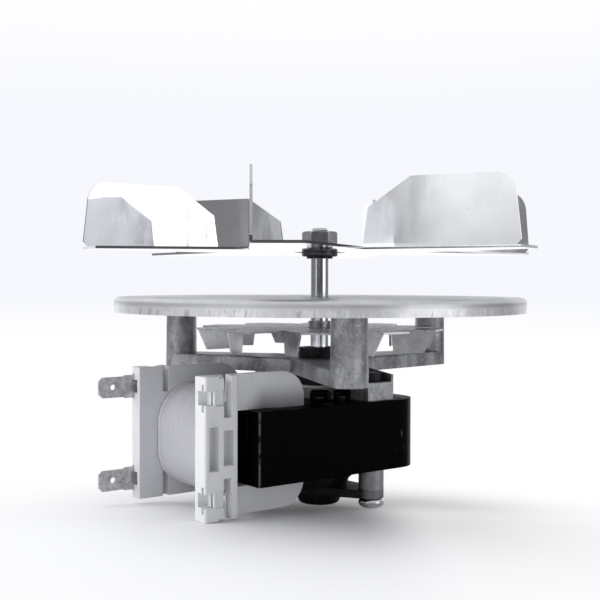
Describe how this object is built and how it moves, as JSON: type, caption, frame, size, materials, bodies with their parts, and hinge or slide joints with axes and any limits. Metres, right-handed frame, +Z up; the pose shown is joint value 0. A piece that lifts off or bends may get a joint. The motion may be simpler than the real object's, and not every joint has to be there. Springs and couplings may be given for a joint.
{
  "type": "shaded pole motor",
  "caption": "Open shaded pole fan motor hung on posts under a round mounting disc, with a cooling fan between them and a bladed sheet impeller on the shaft above.",
  "frame": {"origin": "centre of the mounting disc's top face, on the shaft axis", "axes": "+Z up the shaft towards the impeller; -X towards the coil and its flat terminals; +Y towards the flange that holds the terminals"},
  "size_m": [0.1454, 0.1502, 0.1026],
  "materials": {
    "galvanised_sheet": "matt galvanised",
    "zinc_plated_steel": "bright zinc",
    "die_cast_alloy": "mottled casting skin",
    "black_steel": "satin black",
    "sintered_bronze": "matt sintered",
    "oil_felt": "felt",
    "spring_steel": "satin",
    "turned_steel": "turned",
    "black_laminations": "black varnish",
    "copper": "bare copper",
    "white_plastic": "fine matt",
    "enamelled_wire": "enamel",
    "clear_tape": "pale tape",
    "tinned_brass": "tinned",
    "ground_steel": "ground and polished",
    "rotor_laminations": "turned laminations",
    "cast_aluminium": "cast",
    "fan_sheet": "plain sheet",
    "impeller_sheet": "bright annealed sheet",
    "black_clip": "blackened"
  },
  "bodies": {
    "stator": {"mounting_disc": "galvanised_sheet", "disc_screws": "zinc_plated_steel", "post_frame": "die_cast_alloy", "upper_bearing_bridge": "black_steel", "upper_bearing": "sintered_bronze", "upper_felt_ring": "oil_felt", "upper_bearing_clip": "spring_steel", "lower_bearing_bridge": "black_steel", "lower_bearing": "sintered_bronze", "lower_felt_ring": "oil_felt", "lower_bearing_clip": "spring_steel", "spacer_sleeves": "turned_steel", "frame_screws": "zinc_plated_steel", "stator_core": "black_laminations", "coil_core": "black_laminations", "stack_rivets": "black_steel", "shading_rings": "copper", "coil_bobbin": "white_plastic", "coil_winding": "enamelled_wire", "coil_tape": "clear_tape", "terminal_tab_upper": "tinned_brass", "terminal_tab_lower": "tinned_brass"},
    "rotor": {"rotor_shaft": "ground_steel", "rotor_core": "rotor_laminations", "rotor_cage": "cast_aluminium", "upper_thrust_washer": "white_plastic", "lower_thrust_washer": "white_plastic", "cooling_fan": "fan_sheet", "fan_circlip": "spring_steel", "impeller": "impeller_sheet", "impeller_collar": "turned_steel", "impeller_circlip": "black_clip", "impeller_nut": "zinc_plated_steel"}
  },
  "joints": [
    {"name": "rotor_spin", "type": "hinge", "parent": "stator", "child": "rotor", "pos_m": [0, 0, 0], "axis": [0, 0, 1], "continuous": true}
  ]
}
